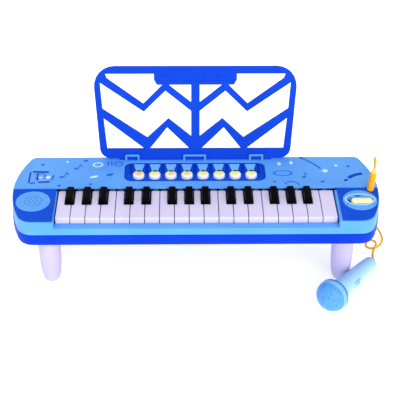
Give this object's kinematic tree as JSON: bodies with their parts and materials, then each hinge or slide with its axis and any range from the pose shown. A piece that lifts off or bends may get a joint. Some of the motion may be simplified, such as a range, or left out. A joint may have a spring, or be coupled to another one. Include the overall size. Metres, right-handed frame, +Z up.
{
  "type": "toy electronic keyboard",
  "caption": "Toy electronic keyboard on bullet-shaped legs, with sprung keys and push buttons, a power slide, a lift-out openwork music stand and a corded microphone.",
  "frame": {"origin": "on the floor, under the middle of the keyboard's box taken with its stand and microphone but without the cord, its coil and its plug", "axes": "+X to the player's right along the keys, +Y away from the player, +Z up"},
  "size_m": [0.4647, 0.2224, 0.2192],
  "materials": {
    "light_blue_case": "satin moulded ABS",
    "royal_blue_case": "satin moulded ABS",
    "royal_blue_trim": "satin moulded ABS",
    "stand_blue": "satin moulded ABS",
    "white_keys": "satin moulded ABS",
    "black_keys": "satin moulded ABS",
    "button_caps": "glossy moulded ABS with a printed centre",
    "power_knob": "satin moulded ABS",
    "legs": "satin moulded polypropylene",
    "mic_head_blue": "satin moulded ABS",
    "mic_handle_blue": "glossy moulded ABS",
    "plug_orange": "moulded PVC",
    "cord_yellow": "matt PVC sheath",
    "board_green": "lacquered circuit board",
    "speaker_frame": "pressed steel frame with a paper cone"
  },
  "bodies": {
    "case": {"upper_case": "light_blue_case", "lower_case": "royal_blue_case", "left_trim_plate": "royal_blue_trim", "right_trim_plate": "royal_blue_trim", "speaker_driver": "speaker_frame", "button_tray": "royal_blue_trim", "circuit_board": "board_green", "battery_door": "royal_blue_case", "leg_front_left": "legs", "leg_front_right": "legs", "leg_rear_left": "legs", "leg_rear_right": "legs", "mic_plug": "plug_orange", "cord_plug_side": "cord_yellow", "cord_coil": "cord_yellow", "cord_mic_side": "cord_yellow"},
    "music_stand": {"music_stand": "stand_blue"},
    "power_slide": {"power_slide": "power_knob"},
    "microphone": {"mic_head": "mic_head_blue", "mic_handle": "mic_handle_blue"},
    "button_1": {"button_1": "button_caps"},
    "button_2": {"button_2": "button_caps"},
    "button_3": {"button_3": "button_caps"},
    "button_4": {"button_4": "button_caps"},
    "button_5": {"button_5": "button_caps"},
    "button_6": {"button_6": "button_caps"},
    "button_7": {"button_7": "button_caps"},
    "button_8": {"button_8": "button_caps"},
    "white_key_01": {"white_key_01": "white_keys"},
    "white_key_02": {"white_key_02": "white_keys"},
    "white_key_03": {"white_key_03": "white_keys"},
    "white_key_04": {"white_key_04": "white_keys"},
    "white_key_05": {"white_key_05": "white_keys"},
    "white_key_06": {"white_key_06": "white_keys"},
    "white_key_07": {"white_key_07": "white_keys"},
    "white_key_08": {"white_key_08": "white_keys"},
    "white_key_09": {"white_key_09": "white_keys"},
    "white_key_10": {"white_key_10": "white_keys"},
    "white_key_11": {"white_key_11": "white_keys"},
    "white_key_12": {"white_key_12": "white_keys"},
    "white_key_13": {"white_key_13": "white_keys"},
    "white_key_14": {"white_key_14": "white_keys"},
    "white_key_15": {"white_key_15": "white_keys"},
    "white_key_16": {"white_key_16": "white_keys"},
    "white_key_17": {"white_key_17": "white_keys"},
    "white_key_18": {"white_key_18": "white_keys"},
    "white_key_19": {"white_key_19": "white_keys"},
    "black_key_01": {"black_key_01": "black_keys"},
    "black_key_02": {"black_key_02": "black_keys"},
    "black_key_03": {"black_key_03": "black_keys"},
    "black_key_04": {"black_key_04": "black_keys"},
    "black_key_05": {"black_key_05": "black_keys"},
    "black_key_06": {"black_key_06": "black_keys"},
    "black_key_07": {"black_key_07": "black_keys"},
    "black_key_08": {"black_key_08": "black_keys"},
    "black_key_09": {"black_key_09": "black_keys"},
    "black_key_10": {"black_key_10": "black_keys"},
    "black_key_11": {"black_key_11": "black_keys"},
    "black_key_12": {"black_key_12": "black_keys"},
    "black_key_13": {"black_key_13": "black_keys"}
  },
  "joints": [
    {"name": "lift_music_stand", "type": "slide", "parent": "case", "child": "music_stand", "axis": [0, 0.2588, 0.9659], "range_m": [0, 0.02]},
    {"name": "slide_power", "type": "slide", "parent": "case", "child": "power_slide", "axis": [-1, 0, 0], "range_m": [0, 0.0035]},
    {"name": "lift_microphone", "type": "slide", "parent": "case", "child": "microphone", "axis": [0, -0.6, 0.8], "range_m": [0, 0.06]},
    {"name": "press_button_1", "type": "slide", "parent": "case", "child": "button_1", "axis": [0, 0, -1], "range_m": [0, 0.0015], "stiffness_N_per_m": 300, "springref_m": -0.002},
    {"name": "press_button_2", "type": "slide", "parent": "case", "child": "button_2", "axis": [0, 0, -1], "range_m": [0, 0.0015], "stiffness_N_per_m": 300, "springref_m": -0.002},
    {"name": "press_button_3", "type": "slide", "parent": "case", "child": "button_3", "axis": [0, 0, -1], "range_m": [0, 0.0015], "stiffness_N_per_m": 300, "springref_m": -0.002},
    {"name": "press_button_4", "type": "slide", "parent": "case", "child": "button_4", "axis": [0, 0, -1], "range_m": [0, 0.0015], "stiffness_N_per_m": 300, "springref_m": -0.002},
    {"name": "press_button_5", "type": "slide", "parent": "case", "child": "button_5", "axis": [0, 0, -1], "range_m": [0, 0.0015], "stiffness_N_per_m": 300, "springref_m": -0.002},
    {"name": "press_button_6", "type": "slide", "parent": "case", "child": "button_6", "axis": [0, 0, -1], "range_m": [0, 0.0015], "stiffness_N_per_m": 300, "springref_m": -0.002},
    {"name": "press_button_7", "type": "slide", "parent": "case", "child": "button_7", "axis": [0, 0, -1], "range_m": [0, 0.0015], "stiffness_N_per_m": 300, "springref_m": -0.002},
    {"name": "press_button_8", "type": "slide", "parent": "case", "child": "button_8", "axis": [0, 0, -1], "range_m": [0, 0.0015], "stiffness_N_per_m": 300, "springref_m": -0.002},
    {"name": "press_white_key_01", "type": "hinge", "parent": "case", "child": "white_key_01", "pos_m": [-0.1615, 0.037, 0.091], "axis": [1, 0, 0], "range_deg": [0, 2.4], "stiffness_Nm_per_rad": 0.5, "springref_deg": -3.44},
    {"name": "press_white_key_02", "type": "hinge", "parent": "case", "child": "white_key_02", "pos_m": [-0.14115, 0.037, 0.091], "axis": [1, 0, 0], "range_deg": [0, 2.4], "stiffness_Nm_per_rad": 0.5, "springref_deg": -3.44},
    {"name": "press_white_key_03", "type": "hinge", "parent": "case", "child": "white_key_03", "pos_m": [-0.12115, 0.037, 0.091], "axis": [1, 0, 0], "range_deg": [0, 2.4], "stiffness_Nm_per_rad": 0.5, "springref_deg": -3.44},
    {"name": "press_white_key_04", "type": "hinge", "parent": "case", "child": "white_key_04", "pos_m": [-0.1011, 0.037, 0.091], "axis": [1, 0, 0], "range_deg": [0, 2.4], "stiffness_Nm_per_rad": 0.5, "springref_deg": -3.44},
    {"name": "press_white_key_05", "type": "hinge", "parent": "case", "child": "white_key_05", "pos_m": [-0.0912, 0.037, 0.091], "axis": [1, 0, 0], "range_deg": [0, 2.4], "stiffness_Nm_per_rad": 0.5, "springref_deg": -3.44},
    {"name": "press_white_key_06", "type": "hinge", "parent": "case", "child": "white_key_06", "pos_m": [-0.0703, 0.037, 0.091], "axis": [1, 0, 0], "range_deg": [0, 2.4], "stiffness_Nm_per_rad": 0.5, "springref_deg": -3.44},
    {"name": "press_white_key_07", "type": "hinge", "parent": "case", "child": "white_key_07", "pos_m": [-0.0491, 0.037, 0.091], "axis": [1, 0, 0], "range_deg": [0, 2.4], "stiffness_Nm_per_rad": 0.5, "springref_deg": -3.44},
    {"name": "press_white_key_08", "type": "hinge", "parent": "case", "child": "white_key_08", "pos_m": [-0.039, 0.037, 0.091], "axis": [1, 0, 0], "range_deg": [0, 2.4], "stiffness_Nm_per_rad": 0.5, "springref_deg": -3.44},
    {"name": "press_white_key_09", "type": "hinge", "parent": "case", "child": "white_key_09", "pos_m": [-0.01865, 0.037, 0.091], "axis": [1, 0, 0], "range_deg": [0, 2.4], "stiffness_Nm_per_rad": 0.5, "springref_deg": -3.44},
    {"name": "press_white_key_10", "type": "hinge", "parent": "case", "child": "white_key_10", "pos_m": [0.00135, 0.037, 0.091], "axis": [1, 0, 0], "range_deg": [0, 2.4], "stiffness_Nm_per_rad": 0.5, "springref_deg": -3.44},
    {"name": "press_white_key_11", "type": "hinge", "parent": "case", "child": "white_key_11", "pos_m": [0.0214, 0.037, 0.091], "axis": [1, 0, 0], "range_deg": [0, 2.4], "stiffness_Nm_per_rad": 0.5, "springref_deg": -3.44},
    {"name": "press_white_key_12", "type": "hinge", "parent": "case", "child": "white_key_12", "pos_m": [0.0313, 0.037, 0.091], "axis": [1, 0, 0], "range_deg": [0, 2.4], "stiffness_Nm_per_rad": 0.5, "springref_deg": -3.44},
    {"name": "press_white_key_13", "type": "hinge", "parent": "case", "child": "white_key_13", "pos_m": [0.0522, 0.037, 0.091], "axis": [1, 0, 0], "range_deg": [0, 2.4], "stiffness_Nm_per_rad": 0.5, "springref_deg": -3.44},
    {"name": "press_white_key_14", "type": "hinge", "parent": "case", "child": "white_key_14", "pos_m": [0.0734, 0.037, 0.091], "axis": [1, 0, 0], "range_deg": [0, 2.4], "stiffness_Nm_per_rad": 0.5, "springref_deg": -3.44},
    {"name": "press_white_key_15", "type": "hinge", "parent": "case", "child": "white_key_15", "pos_m": [0.0835, 0.037, 0.091], "axis": [1, 0, 0], "range_deg": [0, 2.4], "stiffness_Nm_per_rad": 0.5, "springref_deg": -3.44},
    {"name": "press_white_key_16", "type": "hinge", "parent": "case", "child": "white_key_16", "pos_m": [0.10385, 0.037, 0.091], "axis": [1, 0, 0], "range_deg": [0, 2.4], "stiffness_Nm_per_rad": 0.5, "springref_deg": -3.44},
    {"name": "press_white_key_17", "type": "hinge", "parent": "case", "child": "white_key_17", "pos_m": [0.12385, 0.037, 0.091], "axis": [1, 0, 0], "range_deg": [0, 2.4], "stiffness_Nm_per_rad": 0.5, "springref_deg": -3.44},
    {"name": "press_white_key_18", "type": "hinge", "parent": "case", "child": "white_key_18", "pos_m": [0.1439, 0.037, 0.091], "axis": [1, 0, 0], "range_deg": [0, 2.4], "stiffness_Nm_per_rad": 0.5, "springref_deg": -3.44},
    {"name": "press_white_key_19", "type": "hinge", "parent": "case", "child": "white_key_19", "pos_m": [0.1575, 0.037, 0.091], "axis": [1, 0, 0], "range_deg": [0, 2.4], "stiffness_Nm_per_rad": 0.5, "springref_deg": -3.44},
    {"name": "press_black_key_01", "type": "hinge", "parent": "case", "child": "black_key_01", "pos_m": [-0.15135, 0.037, 0.091], "axis": [1, 0, 0], "range_deg": [0, 2.8], "stiffness_Nm_per_rad": 0.5, "springref_deg": -3.44},
    {"name": "press_black_key_02", "type": "hinge", "parent": "case", "child": "black_key_02", "pos_m": [-0.13095, 0.037, 0.091], "axis": [1, 0, 0], "range_deg": [0, 2.8], "stiffness_Nm_per_rad": 0.5, "springref_deg": -3.44},
    {"name": "press_black_key_03", "type": "hinge", "parent": "case", "child": "black_key_03", "pos_m": [-0.11135, 0.037, 0.091], "axis": [1, 0, 0], "range_deg": [0, 2.8], "stiffness_Nm_per_rad": 0.5, "springref_deg": -3.44},
    {"name": "press_black_key_04", "type": "hinge", "parent": "case", "child": "black_key_04", "pos_m": [-0.08075, 0.037, 0.091], "axis": [1, 0, 0], "range_deg": [0, 2.8], "stiffness_Nm_per_rad": 0.5, "springref_deg": -3.44},
    {"name": "press_black_key_05", "type": "hinge", "parent": "case", "child": "black_key_05", "pos_m": [-0.05985, 0.037, 0.091], "axis": [1, 0, 0], "range_deg": [0, 2.8], "stiffness_Nm_per_rad": 0.5, "springref_deg": -3.44},
    {"name": "press_black_key_06", "type": "hinge", "parent": "case", "child": "black_key_06", "pos_m": [-0.02885, 0.037, 0.091], "axis": [1, 0, 0], "range_deg": [0, 2.8], "stiffness_Nm_per_rad": 0.5, "springref_deg": -3.44},
    {"name": "press_black_key_07", "type": "hinge", "parent": "case", "child": "black_key_07", "pos_m": [-0.00845, 0.037, 0.091], "axis": [1, 0, 0], "range_deg": [0, 2.8], "stiffness_Nm_per_rad": 0.5, "springref_deg": -3.44},
    {"name": "press_black_key_08", "type": "hinge", "parent": "case", "child": "black_key_08", "pos_m": [0.01115, 0.037, 0.091], "axis": [1, 0, 0], "range_deg": [0, 2.8], "stiffness_Nm_per_rad": 0.5, "springref_deg": -3.44},
    {"name": "press_black_key_09", "type": "hinge", "parent": "case", "child": "black_key_09", "pos_m": [0.04175, 0.037, 0.091], "axis": [1, 0, 0], "range_deg": [0, 2.8], "stiffness_Nm_per_rad": 0.5, "springref_deg": -3.44},
    {"name": "press_black_key_10", "type": "hinge", "parent": "case", "child": "black_key_10", "pos_m": [0.06265, 0.037, 0.091], "axis": [1, 0, 0], "range_deg": [0, 2.8], "stiffness_Nm_per_rad": 0.5, "springref_deg": -3.44},
    {"name": "press_black_key_11", "type": "hinge", "parent": "case", "child": "black_key_11", "pos_m": [0.09365, 0.037, 0.091], "axis": [1, 0, 0], "range_deg": [0, 2.8], "stiffness_Nm_per_rad": 0.5, "springref_deg": -3.44},
    {"name": "press_black_key_12", "type": "hinge", "parent": "case", "child": "black_key_12", "pos_m": [0.11405, 0.037, 0.091], "axis": [1, 0, 0], "range_deg": [0, 2.8], "stiffness_Nm_per_rad": 0.5, "springref_deg": -3.44},
    {"name": "press_black_key_13", "type": "hinge", "parent": "case", "child": "black_key_13", "pos_m": [0.13365, 0.037, 0.091], "axis": [1, 0, 0], "range_deg": [0, 2.8], "stiffness_Nm_per_rad": 0.5, "springref_deg": -3.44}
  ]
}
